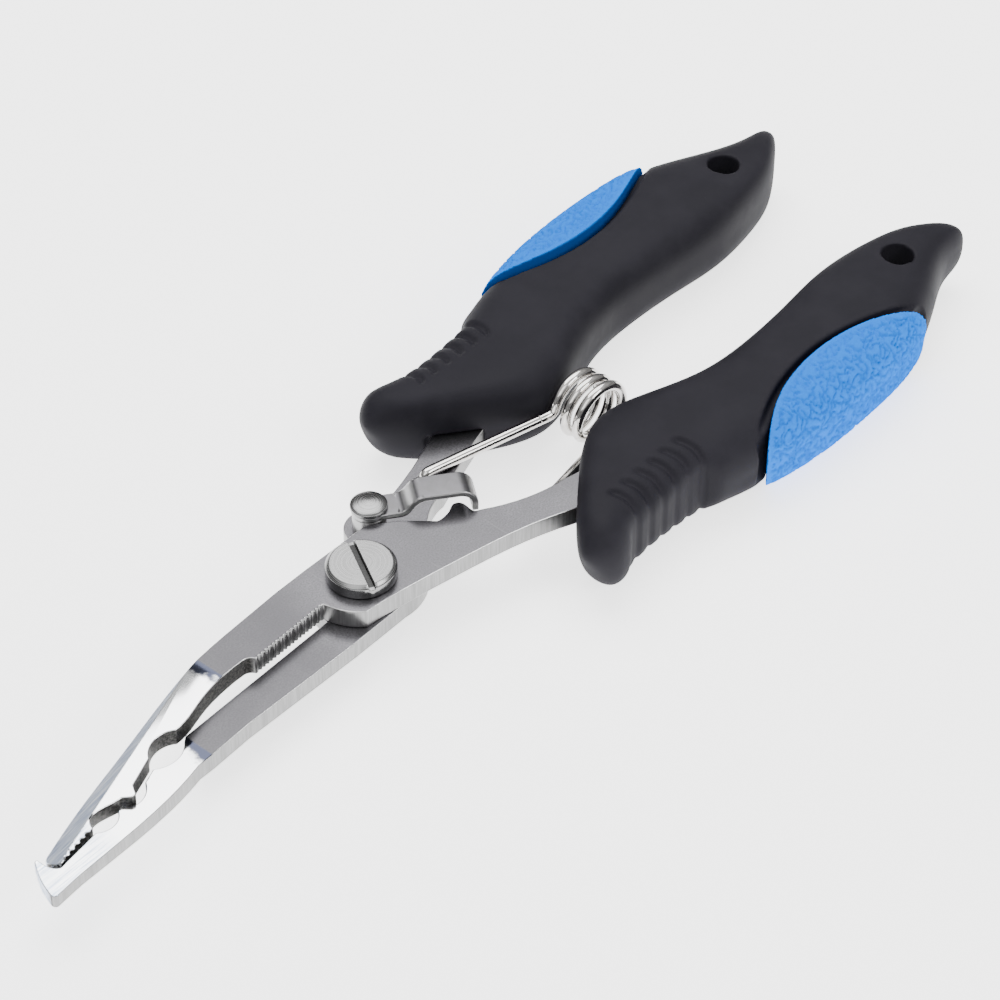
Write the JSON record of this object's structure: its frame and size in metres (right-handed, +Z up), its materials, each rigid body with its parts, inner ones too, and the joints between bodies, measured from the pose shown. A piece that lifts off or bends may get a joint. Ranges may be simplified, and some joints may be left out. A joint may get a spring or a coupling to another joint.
{
  "type": "fishing pliers",
  "caption": "Slim hook-nosed fishing pliers with crimping jaws, a wire cutter, a swinging handle latch, a coil return spring and two moulded grips with rubber inlays.",
  "frame": {"origin": "centre of the pliers' footprint, on the surface they lie on", "axes": "+X from the jaws to the handles, +Z up along the pivot screw towards its head"},
  "size_m": [0.177, 0.0554, 0.0128],
  "materials": {
    "lever_steel": "satin",
    "screw_steel": "turned",
    "latch_steel": "satin",
    "spring_wire": "polished",
    "grip_black": "matte",
    "inlay_blue": "matte"
  },
  "bodies": {
    "root": {"hook_jaw_lever": "lever_steel", "pivot_screw": "screw_steel", "latch_rivet": "screw_steel", "latch_spacer": "screw_steel", "left_grip": "grip_black", "left_grip_inlay": "inlay_blue", "return_spring": "spring_wire"},
    "upper_lever": {"plain_jaw_lever": "lever_steel", "right_grip": "grip_black", "right_grip_inlay": "inlay_blue"},
    "latch": {"latch": "latch_steel"}
  },
  "joints": [
    {"name": "jaw_pivot", "type": "hinge", "parent": "root", "child": "upper_lever", "pos_m": [-0.02351, 0.00077, 0.00642], "axis": [0, 0, -1], "range_deg": [0, 22], "stiffness_Nm_per_rad": 0.6, "springref_deg": 25.78, "deforming": ["return_spring"]},
    {"name": "latch_pivot", "type": "hinge", "parent": "root", "child": "latch", "pos_m": [-0.01381, 0.00807, 0.00642], "axis": [0, 0, 1], "range_deg": [0, 18]}
  ]
}
